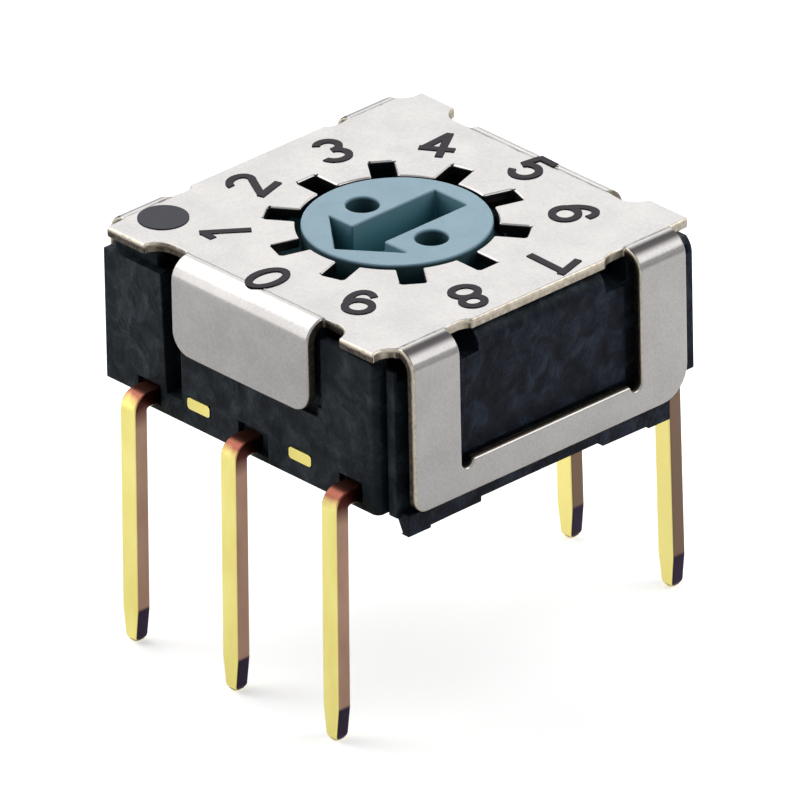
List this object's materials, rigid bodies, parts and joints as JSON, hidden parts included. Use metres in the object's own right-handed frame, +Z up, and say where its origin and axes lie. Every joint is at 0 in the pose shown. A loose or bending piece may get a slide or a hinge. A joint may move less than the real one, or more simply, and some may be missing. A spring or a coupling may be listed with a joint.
{
  "type": "rotary coded switch",
  "caption": "Small square rotary coded switch for a circuit board: sheet metal cover with printed dial, turning rotor with an arrow shaped driver slot, straight solder pins in two rows.",
  "frame": {"origin": "on the rotor's axis, in the plane of the feet's undersides, which rest on the circuit board", "axes": "+Z up from the board along the rotor's axis, +X along the pin rows; the arrow slot's tip points to -Y at rest"},
  "size_m": [0.0076, 0.0082, 0.0076],
  "materials": {
    "black_moulding": "matte",
    "stainless_sheet": "satin",
    "dial_ink": "matte",
    "dot_ink": "matte",
    "blue_grey_moulding": "satin",
    "spring_sheet": "satin",
    "seal_rubber": "matte",
    "gold_plate": "polished"
  },
  "bodies": {
    "housing": {"base": "black_moulding", "cover": "stainless_sheet", "dial_digits": "dial_ink", "index_dot": "dot_ink", "seal_ring": "seal_rubber", "terminal_1": "gold_plate", "terminal_2": "gold_plate", "terminal_4": "gold_plate", "terminal_8": "gold_plate", "terminal_common": "gold_plate"},
    "dial": {"rotor": "blue_grey_moulding", "click_spring": "spring_sheet", "contact_brush": "gold_plate"}
  },
  "joints": [
    {"name": "rotor_turn", "type": "hinge", "parent": "housing", "child": "dial", "pos_m": [0, 0, 0.003], "axis": [0, 0, 1], "continuous": true}
  ]
}
